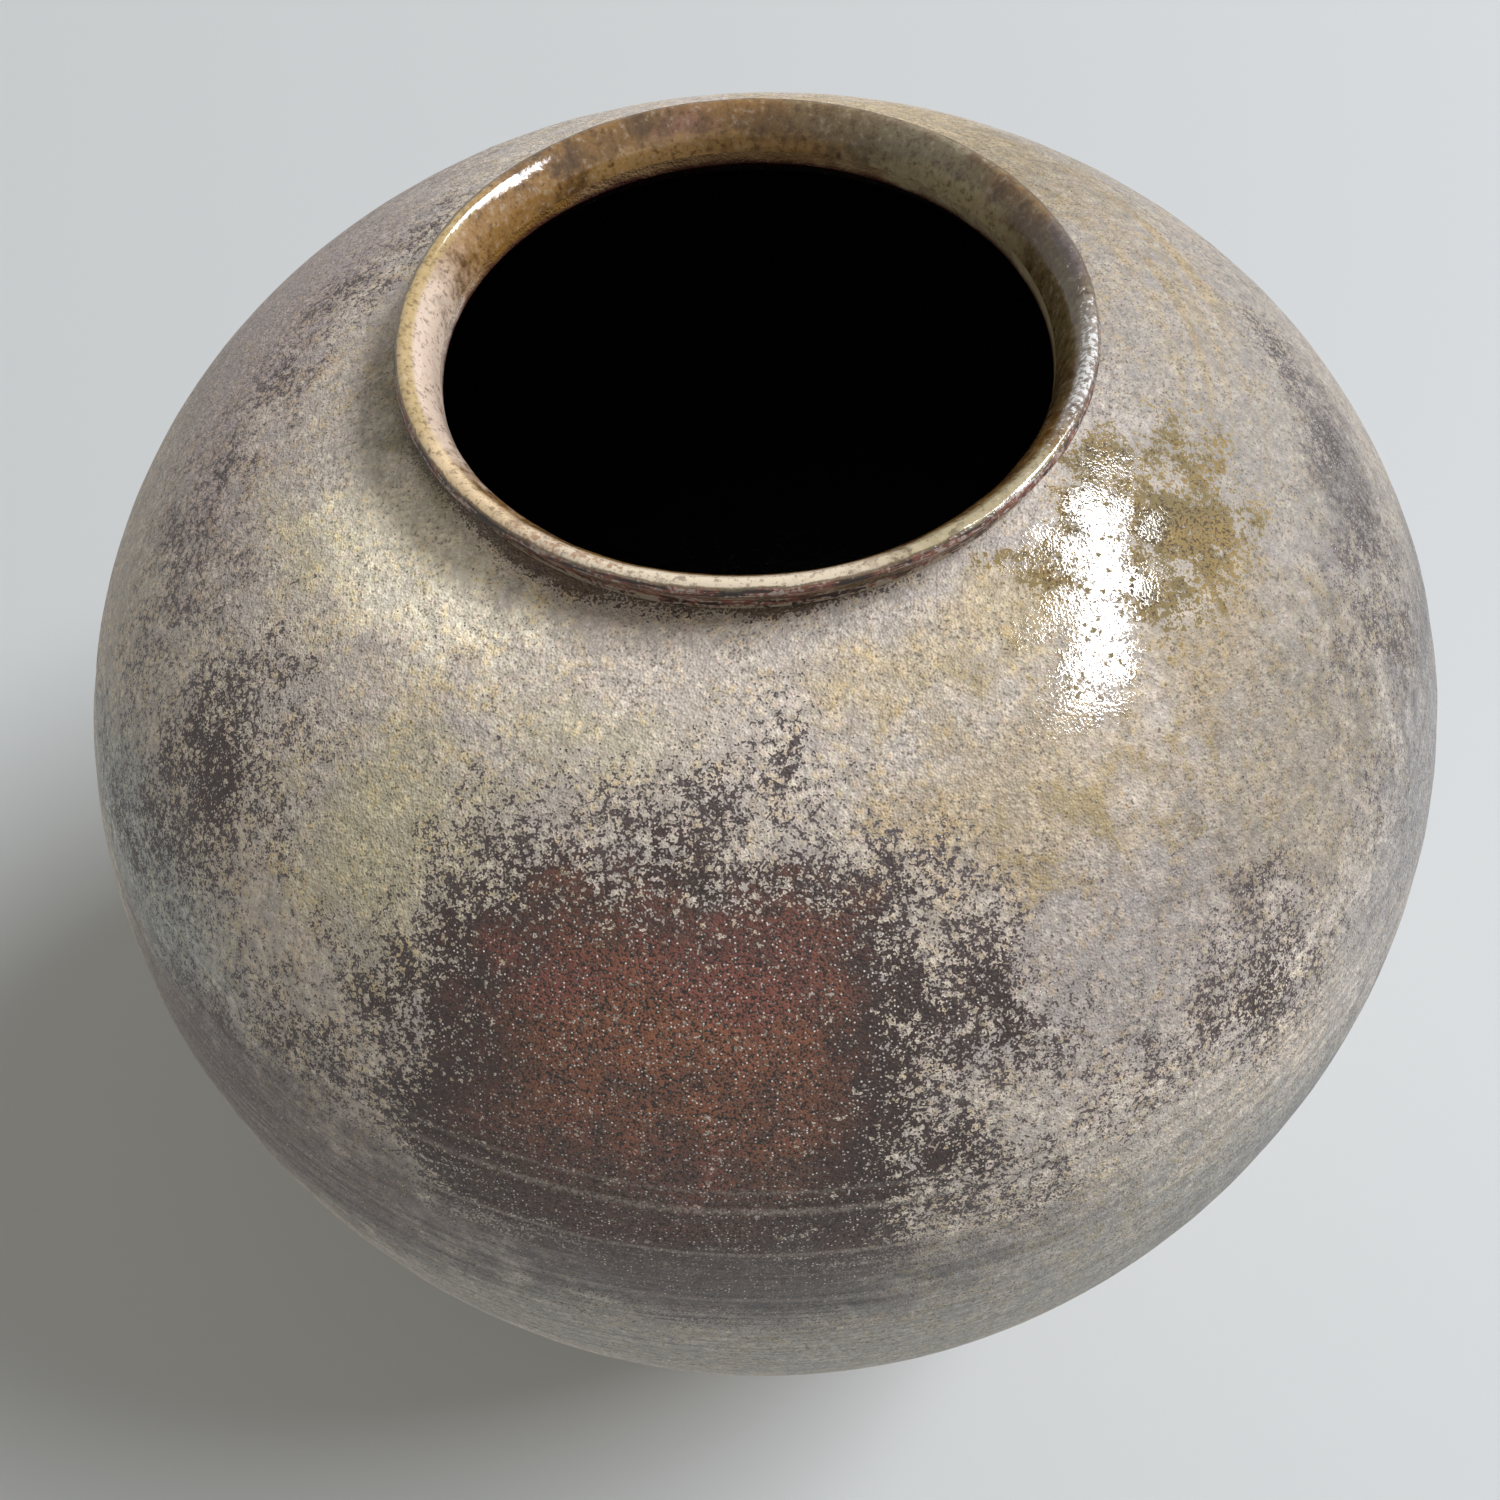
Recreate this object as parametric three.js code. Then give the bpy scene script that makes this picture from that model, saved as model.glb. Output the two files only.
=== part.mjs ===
// A globular stoneware flower vase with a low flared collar, thrown in four sections that are luted together.
// Millimetres, +Z up, origin at the centre of the plane the foot rests on.
import * as THREE from 'three';

// Body
const bellyRadius = 125; // outside, at the widest circle
const bowlHeight = 118; // from the foot ring's top to the widest circle
const bowlFullness = 2.1; // 2 is an ellipse, more is squarer
const footSeatRadius = 58; // outside of the bowl where it meets the foot ring
const domeHeight = 98.5; // from the widest circle to the collar's seat
const domeFullness = 2.34;
const wall = 5.5;
const floorThickness = 8;

// Foot ring
const footHeight = 7;
const footWidth = 9; // radial width of the resting face
const footStep = 1.5; // how far the ring stands in from the bowl's edge
const footChamfer = 1.2; // worn edge round the resting face

// Mouth
const throatRadius = 45.2; // inside, at the narrowest circle
const throatRound = 3; // rounding from the throat into the hollow
const collarThickness = 3.5; // at the collar's base
const collarHeight = 6.5;
const lipFlare = 2.3; // how far the lip stands out beyond the collar's base
const lipThickness = 3.2;

// Luted joints: a scored ridge on the lower piece enters a groove in the upper one
const ridgeWidth = 1.6;
const ridgeHeight = 1.2;
const slip = 0.3; // layer of slip between two pieces

// Smoothness
const turnSteps = 48; // facets round the axis
const curveSteps = 10; // facets along a wall
const roundSteps = 4; // facets along a small rounding

// Heights above the resting plane
const bowlSeat = footHeight + slip;
const domeSeat = bowlSeat + bowlHeight + slip;
const collarSeat = domeSeat + domeHeight + slip;
const collarBaseRadius = throatRadius + collarThickness;

// Height at which a wall curve would close over the axis, if it passes through the given edge.
function closingHeight(edgeRadius, edgeHeight, fullness) {
  const share = Math.pow(edgeRadius / bellyRadius, fullness);
  return edgeHeight / Math.pow(1 - share, 1 / fullness);
}

const domeRise = closingHeight(collarBaseRadius, domeHeight, domeFullness);
const bowlDepth = closingHeight(footSeatRadius, bowlHeight, bowlFullness);

// Points of a wall curve from the widest circle, as [radius, distance from the widest circle].
function wallCurve(radius, rise, fullness, lastAngle) {
  const points = [];
  for (let step = 0; step <= curveSteps; step += 1) {
    const angle = lastAngle * step / curveSteps;
    const across = radius * Math.pow(Math.cos(angle), 2 / fullness);
    const along = rise * Math.pow(Math.sin(angle), 2 / fullness);
    points.push([across, along]);
  }
  return points;
}

function angleAtRadius(edgeRadius, radius, fullness) {
  return Math.acos(Math.pow(edgeRadius / radius, fullness / 2));
}

function angleAtHeight(edgeHeight, rise, fullness) {
  return Math.asin(Math.pow(edgeHeight / rise, fullness / 2));
}

// Points of an arc round a centre, angles in quarter turns from the outward direction.
function arc(centreRadius, centreHeight, radius, firstQuarter, lastQuarter) {
  const points = [];
  const steps = Math.ceil(Math.abs(lastQuarter - firstQuarter) * roundSteps);
  for (let step = 0; step <= steps; step += 1) {
    const quarter = firstQuarter + (lastQuarter - firstQuarter) * step / steps;
    const angle = quarter * Math.PI / 2;
    points.push([centreRadius + radius * Math.cos(angle), centreHeight + radius * Math.sin(angle)]);
  }
  return points;
}

// The ridge of a luted joint, from its inner side to its outer side.
function ridge(innerRadius, outerRadius, height) {
  const middle = (innerRadius + outerRadius) / 2;
  return [
    [middle - ridgeWidth / 2, height],
    [middle, height + ridgeHeight],
    [middle + ridgeWidth / 2, height],
  ];
}

// Turns an outline, given anticlockwise as seen with the axis at its left, into a solid.
function turned(name, outline, seat, color, roughness) {
  const points = outline.map(([radius, height]) => new THREE.Vector2(radius, height));
  const geometry = new THREE.LatheGeometry(points, turnSteps);
  const material = new THREE.MeshStandardMaterial({ color, roughness, metalness: 0 });
  const piece = new THREE.Mesh(geometry, material);
  piece.name = name;
  piece.position.y = seat;
  return piece;
}

// Foot ring
const footOuter = footSeatRadius - footStep;
const footInner = footOuter - footWidth;
const footOutline = [
  [footInner, footHeight],
  [footInner, footChamfer],
  [footInner + footChamfer, 0],
  [footOuter - footChamfer, 0],
  [footOuter, footChamfer],
  [footOuter, footHeight],
  ...ridge(footInner, footOuter, footHeight).reverse(),
  [footInner, footHeight],
];

// Lower bowl, heights from its own underside
const floorDepth = bowlHeight - floorThickness;
const bowlInnerDepth = bowlDepth - wall;
const bowlInnerRadius = bellyRadius - wall;
const bowlOuter = wallCurve(bellyRadius, bowlDepth, bowlFullness,
  angleAtHeight(bowlHeight, bowlDepth, bowlFullness));
const bowlInner = wallCurve(bowlInnerRadius, bowlInnerDepth, bowlFullness,
  angleAtHeight(floorDepth, bowlInnerDepth, bowlFullness));
const aboveUnderside = ([radius, depth]) => [radius, bowlHeight - depth];
const bowlOutline = [
  [0, 0],
  ...ridge(footInner, footOuter, 0),
  ...bowlOuter.reverse().map(aboveUnderside),
  ...ridge(bowlInnerRadius, bellyRadius, bowlHeight).reverse(),
  ...bowlInner.map(aboveUnderside),
  [0, floorThickness],
];

// Upper dome, heights from its own lower edge
const domeInnerRadius = bellyRadius - wall;
const domeInnerRise = domeRise - wall;
const throatEdge = throatRadius + throatRound;
const domeOuter = wallCurve(bellyRadius, domeRise, domeFullness,
  angleAtRadius(collarBaseRadius, bellyRadius, domeFullness));
const domeInner = wallCurve(domeInnerRadius, domeInnerRise, domeFullness,
  angleAtRadius(throatEdge, domeInnerRadius, domeFullness));
const throatEdgeHeight = domeInner[curveSteps][1];
const domeOutline = [
  ...domeOuter,
  ...ridge(throatRadius, collarBaseRadius, domeHeight).reverse(),
  [throatRadius, domeHeight],
  ...arc(throatEdge, throatEdgeHeight + throatRound, throatRound, 2, 3),
  ...domeInner.reverse().slice(1),
  ...ridge(domeInnerRadius, bellyRadius, 0),
  [bellyRadius, 0],
];

// Mouth collar, heights from its own seat
const lipRound = lipThickness / 2;
const lipCentreRadius = collarBaseRadius + lipFlare - lipRound;
const lipCentreHeight = collarHeight - lipRound;
const collarOutline = [
  [throatRadius, 0],
  ...ridge(throatRadius, collarBaseRadius, 0),
  [collarBaseRadius, 0],
  ...arc(lipCentreRadius, lipCentreHeight, lipRound, 0, 2),
  [throatRadius, 0],
];

// Assembly: the pieces are turned about their own Y axis, which is then stood up along Z
const vase = new THREE.Group();
vase.name = 'ikebana_vase';
const upright = new THREE.Group();
upright.rotation.x = Math.PI / 2;
upright.add(turned('foot_ring', footOutline, 0, 0x5a3f33, 0.9));
upright.add(turned('lower_bowl', bowlOutline, bowlSeat, 0x7c6a5b, 0.75));
upright.add(turned('upper_dome', domeOutline, domeSeat, 0x938474, 0.7));
upright.add(turned('mouth_collar', collarOutline, collarSeat, 0x8c7350, 0.35));
vase.add(upright);

export default vase;
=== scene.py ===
import math
from bisect import bisect
from functools import partial

import bmesh
import bpy
from mathutils import Matrix, Vector, noise


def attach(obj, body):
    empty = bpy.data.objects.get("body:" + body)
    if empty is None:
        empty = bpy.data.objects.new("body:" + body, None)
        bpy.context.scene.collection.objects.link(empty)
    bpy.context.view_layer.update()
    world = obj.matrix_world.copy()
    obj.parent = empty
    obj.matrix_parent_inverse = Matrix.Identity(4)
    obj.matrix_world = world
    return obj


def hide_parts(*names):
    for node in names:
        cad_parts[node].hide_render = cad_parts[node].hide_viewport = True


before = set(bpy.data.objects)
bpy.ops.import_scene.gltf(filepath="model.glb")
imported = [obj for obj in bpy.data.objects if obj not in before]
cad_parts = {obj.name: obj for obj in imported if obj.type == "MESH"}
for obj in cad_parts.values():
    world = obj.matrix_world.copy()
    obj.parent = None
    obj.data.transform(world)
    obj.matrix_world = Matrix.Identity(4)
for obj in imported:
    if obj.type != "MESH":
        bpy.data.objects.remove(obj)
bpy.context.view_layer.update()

mm = 0.001


# wall of the vase, heights above the table
wallShape = {
    "bellyRadius": 125.0,
    "bellyHeight": 125.45,
    "domeFullness": 2.34,
    "bowlFullness": 2.1,
    "collarSeatRadius": 48.7,
    "collarSeatHeight": 224.25,
    "footSeatRadius": 58.0,
    "footSeatHeight": 7.15,
    "wall": 5.5,
    "floorTop": 15.3,
    "throatRadius": 45.2,
    "throatRound": 3.0,
    "ridgeWidth": 1.6,
    "ridgeHeight": 1.2,
    "domeSteps": 190,  # faces from the belly to the collar
    "bowlSteps": 120,  # faces from the belly to the foot
}

# sides of a piece, kept on its mesh for the glaze
outerSide, innerSide, jointSide = 0, 1, 2

# turning lines left by the potter's rib: height above the belly, depth (minus is a groove), width
turningLines = [
    (56.0, -0.10, 0.6), (53.4, 0.14, 0.5), (50.7, 0.16, 0.5), (48.2, -0.12, 0.8), (44.6, 0.10, 0.5),
    (42.8, 0.18, 0.5), (40.6, -0.16, 0.8), (36.5, 0.08, 0.7), (33.0, -0.10, 0.7), (30.6, 0.10, 0.5),
    (29.3, -0.22, 0.8), (24.0, 0.08, 0.6), (19.5, 0.12, 0.6), (17.0, -0.12, 0.8), (9.0, 0.10, 0.7),
    (4.0, -0.12, 0.8), (-6.0, 0.10, 0.7), (-15.0, -0.14, 0.9), (-28.0, 0.12, 0.8), (-44.0, -0.14, 0.9),
    (-60.0, 0.10, 0.9), (-75.0, -0.14, 0.9),
]


# height at which a wall curve through the given edge would close over the axis
def closingHeight(edgeRadius, edgeHeight, fullness):
    share = (edgeRadius / wallShape["bellyRadius"]) ** fullness
    return edgeHeight / (1 - share) ** (1 / fullness)


domeHeight = wallShape["collarSeatHeight"] - wallShape["bellyHeight"]
bowlHeight = wallShape["bellyHeight"] - wallShape["footSeatHeight"]
domeRise = closingHeight(wallShape["collarSeatRadius"], domeHeight, wallShape["domeFullness"])
bowlDepth = closingHeight(wallShape["footSeatRadius"], bowlHeight, wallShape["bowlFullness"])


# points along a wall from the belly to lastAngle, as radius and height above the table
def wallCurve(radius, rise, fullness, lastAngle, steps, upwards):
    points = []
    for step in range(steps + 1):
        angle = lastAngle * step / steps
        along = rise * math.sin(angle) ** (2 / fullness)
        height = wallShape["bellyHeight"] + (along if upwards else -along)
        points.append((radius * math.cos(angle) ** (2 / fullness), height))
    return points


def angleAtRadius(edgeRadius, radius, fullness):
    return math.acos((edgeRadius / radius) ** (fullness / 2))


def angleAtDepth(depth, rise, fullness):
    return math.asin((depth / rise) ** (fullness / 2))


domeEnd = angleAtRadius(wallShape["collarSeatRadius"], wallShape["bellyRadius"], wallShape["domeFullness"])
bowlEnd = angleAtDepth(bowlHeight, bowlDepth, wallShape["bowlFullness"])
domeWall = wallCurve(wallShape["bellyRadius"], domeRise, wallShape["domeFullness"],
                     domeEnd, wallShape["domeSteps"], True)
bowlWall = wallCurve(wallShape["bellyRadius"], bowlDepth, wallShape["bowlFullness"],
                     bowlEnd, wallShape["bowlSteps"], False)


# heights along a wall with the length walked from the belly, in mm
def walkedLengths(points, sign):
    walked = [(points[0][1], 0.0)]
    for (radius, height), (nextRadius, nextHeight) in zip(points, points[1:]):
        walked.append((nextHeight, walked[-1][1] + sign * math.hypot(nextRadius - radius, nextHeight - height)))
    return walked


wallLengths = list(reversed(walkedLengths(bowlWall, -1)))[:-1] + walkedLengths(domeWall, 1)
wallHeights = [height for height, length in wallLengths]


# length along the outside from the belly at a height over the table, downwards is minus
def wallLengthAt(height):
    upper = max(1, min(len(wallHeights) - 1, bisect(wallHeights, height)))
    low, high = wallLengths[upper - 1], wallLengths[upper]
    return low[1] + (high[1] - low[1]) * (height - low[0]) / (high[0] - low[0])


# the scored ridge of a luted joint
def jointRidge(innerRadius, outerRadius, height):
    middle = (innerRadius + outerRadius) / 2
    half = wallShape["ridgeWidth"] / 2
    return [(middle - half, height), (middle, height + wallShape["ridgeHeight"]), (middle + half, height)]


# unevenness from the hand, in mm
handRelief = {
    "skin": -0.35,  # the whole outside lies this far under the CAD surface
    "lineReach": 3.0,  # a turning line dies out at so many widths
    "lineMean": 0.7, "lineChange": 0.6, "lineSize": 40.0,  # strength along a turning line
    "ringTop": 70.0, "ringFade": 30.0, "ringDepth": 0.05, "ringWidth": 0.9,  # fine rings on the lower wall
    "swellDepth": 0.12, "swellSize": 26.0,
    "dentDepth": 0.06, "dentSize": 7.0,
}


# hand relief of the outside, in mm, never above the CAD surface
def wallRelief(point):
    hand = handRelief
    above = point.z / mm - wallShape["bellyHeight"]
    relief = hand["skin"]
    size = hand["lineSize"] * mm
    for height, depth, width in turningLines:
        offset = (above - height) / width
        if abs(offset) < hand["lineReach"]:
            run = hand["lineMean"] + hand["lineChange"] * noise.noise(Vector((point.x / size, point.y / size, height)))
            relief += depth * run * math.exp(-offset * offset)
    band = max(0.0, min(1.0, (hand["ringTop"] - above) / hand["ringFade"]))
    relief += hand["ringDepth"] * band * noise.noise(Vector((0.0, 0.0, above / hand["ringWidth"])))
    relief += hand["swellDepth"] * noise.noise(point / (hand["swellSize"] * mm))
    relief += hand["dentDepth"] * noise.noise(point / (hand["dentSize"] * mm))
    return min(relief, 0.0)


# faces round the axis, gap that is welded in mm, angle that stays a sharp edge in degrees
turning = {"steps": 320, "weld": 0.02, "sharpAngle": 50.0}


# turns an outline of (radius, height, side) about Z and presses the relief into its outer side
def turnOutline(name, outline, reliefAt):
    bm = bmesh.new()
    sideLayer = bm.verts.layers.float.new("inside")
    alongLayer = bm.verts.layers.float.new("along")
    profile = []
    for radius, height, side in outline:
        vert = bm.verts.new((radius * mm, 0.0, height * mm))
        vert[sideLayer] = side
        vert[alongLayer] = wallLengthAt(height)
        profile.append(vert)
    edges = [bm.edges.new(pair) for pair in zip(profile, profile[1:])]
    if outline[0][0] > 0:
        edges.append(bm.edges.new((profile[-1], profile[0])))
    bmesh.ops.spin(bm, geom=profile + edges, cent=(0, 0, 0), axis=(0, 0, 1), angle=2 * math.pi,
                   steps=turning["steps"], use_merge=True, use_duplicate=False)
    bmesh.ops.remove_doubles(bm, verts=bm.verts, dist=turning["weld"] * mm)
    bmesh.ops.recalc_face_normals(bm, faces=bm.faces)
    bm.normal_update()
    moves = []
    for vert in bm.verts:
        if round(vert[sideLayer]) == outerSide:
            out = Vector((vert.co.x, vert.co.y, 0.0)).normalized()
            lean = out * vert.normal.dot(out) + Vector((0, 0, vert.normal.z))
            # edges at a joint move level, so that two pieces still meet
            if any(round(edge.other_vert(vert)[sideLayer]) == jointSide for edge in vert.link_edges):
                lean = out
            moves.append((vert, lean.normalized() * reliefAt(vert.co) * mm))
    for vert, move in moves:
        vert.co += move
    for face in bm.faces:
        face.smooth = True
    mesh = bpy.data.meshes.new(name)
    bm.to_mesh(mesh)
    bm.free()
    mesh.set_sharp_from_angle(angle=math.radians(turning["sharpAngle"]))
    piece = bpy.data.objects.new(name, mesh)
    bpy.context.collection.objects.link(piece)
    return piece


def sided(points, side):
    return [(radius, height, side) for radius, height in points]


# points of an arc, its angles in quarter turns from the outward direction
def arcPoints(centreRadius, centreHeight, radius, firstQuarter, lastQuarter, steps):
    points = []
    for step in range(steps + 1):
        angle = (firstQuarter + (lastQuarter - firstQuarter) * step / steps) * math.pi / 2
        points.append((centreRadius + radius * math.cos(angle), centreHeight + radius * math.sin(angle)))
    return points


# upper dome, from the belly up to the collar's seat, and back down the inside
domeInside = {"steps": 36, "throatSteps": 8, "throatUpright": 2.2}


def makeUpperDome():
    s = wallShape
    seat = s["collarSeatHeight"]
    innerRadius = s["bellyRadius"] - s["wall"]
    throatEdge = s["throatRadius"] + s["throatRound"]
    inside = wallCurve(innerRadius, domeRise - s["wall"], s["domeFullness"],
                       angleAtRadius(throatEdge, innerRadius, s["domeFullness"]), domeInside["steps"], True)
    # the throat's edge rolls straight back into the hollow
    drop = seat - inside[-1][1]
    upright = domeInside["throatUpright"]
    throat = [(s["throatRadius"], seat), (s["throatRadius"], seat - upright)]
    for step in range(1, domeInside["throatSteps"] + 1):
        angle = math.pi / 2 * step / domeInside["throatSteps"]
        radius = s["throatRadius"] + s["throatRound"] * math.sin(angle)
        throat.append((radius, seat - upright - (drop - upright) * (1 - math.cos(angle))))
    outline = sided(domeWall, outerSide)
    outline += sided(reversed(jointRidge(s["throatRadius"], s["collarSeatRadius"], seat)), jointSide)
    outline += sided(throat, innerSide)
    outline += sided(list(reversed(inside))[1:], innerSide)
    outline += sided(jointRidge(innerRadius, s["bellyRadius"], s["bellyHeight"]), jointSide)
    return turnOutline("upperDome", outline, wallRelief)


# lower bowl, from its underside up to the belly, and down the inside to the floor
bowlInside = {"steps": 36, "halfwayDip": 0.6, "middleDip": 0.8}  # the floor sinks a little towards its middle
footShape = {
    "outerRadius": 56.5,
    "width": 9.0,
    "worn": 1.2,  # rounding of the resting edges
    "wornSteps": 5,
    "innerSlope": 0.2,
    "outerSlope": 0.1,
    "flatHeight": 0.3,  # nothing below it is uneven
    "skin": -0.15,
    "lumpDepth": 0.18,
    "lumpSize": 9.0,
}


def makeLowerBowl():
    s = wallShape
    under = s["footSeatHeight"]
    innerRadius = s["bellyRadius"] - s["wall"]
    innerDepth = bowlDepth - s["wall"]
    floorAngle = angleAtDepth(s["bellyHeight"] - s["floorTop"], innerDepth, s["bowlFullness"])
    inside = wallCurve(innerRadius, innerDepth, s["bowlFullness"], floorAngle, bowlInside["steps"], False)
    floorRadius = inside[-1][0]
    inside.append((floorRadius / 2, s["floorTop"] - bowlInside["halfwayDip"]))
    inside.append((0.0, s["floorTop"] - bowlInside["middleDip"]))
    footInner = footShape["outerRadius"] - footShape["width"]
    outline = sided([(0.0, under), (footInner / 2, under)], jointSide)
    outline += sided(jointRidge(footInner, footShape["outerRadius"], under), jointSide)
    outline += sided(reversed(bowlWall), outerSide)
    outline += sided(reversed(jointRidge(innerRadius, s["bellyRadius"], s["bellyHeight"])), jointSide)
    outline += sided(inside, innerSide)
    return turnOutline("lowerBowl", outline, wallRelief)


# foot ring, turned from a coil
def makeFootRing():
    outer = footShape["outerRadius"]
    inner = outer - footShape["width"]
    worn = footShape["worn"]
    steps = footShape["wornSteps"]
    innerSlope = footShape["innerSlope"]
    top = wallShape["footSeatHeight"]
    ring = [(inner, top), (inner + innerSlope, top / 2)]
    ring += arcPoints(inner + worn + innerSlope, worn, worn, 2, 3, steps)
    ring += [((inner + outer) / 2, 0.0)]
    ring += arcPoints(outer - worn, worn, worn, 3, 4, steps)
    ring += [(outer - footShape["outerSlope"], top / 2), (outer, top)]
    outline = sided(ring, outerSide) + sided(reversed(jointRidge(inner, outer, top)), jointSide)

    def relief(point):
        if point.z < footShape["flatHeight"] * mm:
            return 0.0
        lump = footShape["lumpDepth"] * noise.noise(point / (footShape["lumpSize"] * mm))
        return min(0.0, footShape["skin"] + lump)
    return turnOutline("footRing", outline, relief)


# mouth collar: low flared neck with a rounded lip
collarShape = {
    "height": 6.65,
    "lipFlare": 2.3,
    "lipThickness": 3.2,
    "lipTurn": 1.42,  # quarter turns from the outside over the crest
    "hollow": 0.35,  # of the outside
    "flareCurve": 2.5,  # 1 is a straight cone inside, more is a trumpet
    "wallSteps": 12,
    "lipSteps": 14,
    "skin": -0.2,
    "freeHeight": 1.5,  # over its seat, from where it is fully uneven
    "waveDepth": 0.22, "waveSize": 22.0,
    "rippleDepth": 0.10, "rippleSize": 5.0,
}


def makeMouthCollar():
    s = wallShape
    seat = s["collarSeatHeight"]
    base = s["collarSeatRadius"]
    throat = s["throatRadius"]
    lipRound = collarShape["lipThickness"] / 2
    lipRadius = base + collarShape["lipFlare"] - lipRound
    lipHeight = seat + collarShape["height"] - lipRound
    steps = collarShape["wallSteps"]
    skin = []
    for step in range(steps):
        share = step / steps
        bow = collarShape["hollow"] * math.sin(math.pi * share)
        skin.append((base + (lipRadius + lipRound - base) * share - bow, seat + (lipHeight - seat) * share))
    skin += arcPoints(lipRadius, lipHeight, lipRound, 0, collarShape["lipTurn"], collarShape["lipSteps"])
    # the flare sweeps down to an upright throat
    flareTop, flareHeight = skin[-1]
    for step in range(1, steps + 1):
        share = 1 - step / steps
        flare = (flareTop - throat) * share ** collarShape["flareCurve"]
        skin.append((throat + flare, seat + (flareHeight - seat) * share))
    outline = sided(jointRidge(throat, base, seat), jointSide) + sided(skin, outerSide)

    def relief(point):
        free = max(0.0, min(1.0, (point.z / mm - seat) / collarShape["freeHeight"]))
        wave = collarShape["waveDepth"] * noise.noise(point / (collarShape["waveSize"] * mm))
        wave += collarShape["rippleDepth"] * noise.noise(point / (collarShape["rippleSize"] * mm))
        return min(0.0, collarShape["skin"] * free + wave * free)
    return turnOutline("mouthCollar", outline, relief)


upperDome = makeUpperDome()
lowerBowl = makeLowerBowl()
mouthCollar = makeMouthCollar()
footRing = makeFootRing()
print("vase turned:", [(o.name, len(o.data.polygons)) for o in (upperDome, lowerBowl, mouthCollar, footRing)])


def srgb(hexColour):
    channels = [(hexColour >> shift & 255) / 255 for shift in (16, 8, 0)]
    linear = [c / 12.92 if c <= 0.04045 else ((c + 0.055) / 1.055) ** 2.4 for c in channels]
    return (*linear, 1.0)


# scale of a pattern whose parts are so many mm wide
def perMm(size):
    return 1 / (size * mm)


# adds one node with its settings and inputs, links the inputs that are sockets, and gives back one output
def addNode(tree, kind, settings=None, inputs=None, output=0):
    node = tree.nodes.new("ShaderNode" + kind)
    for name, value in (settings or {}).items():
        setattr(node, name, value)
    for name, value in (inputs or {}).items():
        if isinstance(value, bpy.types.NodeSocket):
            tree.links.new(value, node.inputs[name])
        else:
            node.inputs[name].default_value = value
    return node.outputs[output]


# settings that many nodes share
# sockets by number: MapRange has 0 value, 1 and 2 from, 3 and 4 to; Mix has 0 share, 2 and 3 numbers, 6 and 7 colours
smooth = {"interpolation_type": "SMOOTHSTEP"}
colours = {"data_type": "RGBA"}
tinting = {"data_type": "RGBA", "blend_type": "MULTIPLY"}
numbers = {"data_type": "FLOAT"}
times = {"operation": "MULTIPLY"}
timesPlus = {"operation": "MULTIPLY_ADD"}
plus = {"operation": "ADD"}
minus = {"operation": "SUBTRACT"}
larger = {"operation": "MAXIMUM"}
absolute = {"operation": "ABSOLUTE"}


patchEdge = -1.3  # value of a patch at its edge


# soft patches on the wall, joined: each has its strength at the middle, falling to patchEdge and on beyond it
def addPatches(tree, chart, patches, squarish=False):
    joined = None
    for turn, along, halfTurn, halfAlong, strength in patches:
        away = addNode(tree, "VectorMath", minus, {0: chart, 1: (turn, along, 0)})
        away = addNode(tree, "VectorMath", {"operation": "DIVIDE"}, {0: away, 1: (halfTurn, halfAlong, 1)})
        if squarish:
            away = addNode(tree, "VectorMath", times, {0: away, 1: away})
        reach = addNode(tree, "VectorMath", {"operation": "LENGTH"}, {0: away}, "Value")
        if squarish:
            reach = addNode(tree, "Math", {"operation": "SQRT"}, {0: reach})
        patch = addNode(tree, "Math", timesPlus, {0: reach, 1: patchEdge - strength, 2: strength})
        joined = patch if joined is None else addNode(tree, "Math", larger, {0: joined, 1: patch})
    return joined


# turn from the front in degrees, to the right is plus
def addTurn(tree, place):
    x = addNode(tree, "SeparateXYZ", None, {0: place}, 0)
    y = addNode(tree, "SeparateXYZ", None, {0: place}, 1)
    towards = addNode(tree, "Math", times, {0: y, 1: -1.0})
    turn = addNode(tree, "Math", {"operation": "ARCTAN2"}, {0: x, 1: towards})
    return addNode(tree, "Math", {"operation": "DEGREES"}, {0: turn})


# starts a material and gives it back with its shader, the way to add nodes to it, and the object's own coordinates
def startMaterial(name):
    material = bpy.data.materials.new(name)
    material.use_nodes = True
    tree = material.node_tree
    add = partial(addNode, tree)
    return material, tree, tree.nodes["Principled BSDF"], add, add("TexCoord", output="Object")


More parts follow.
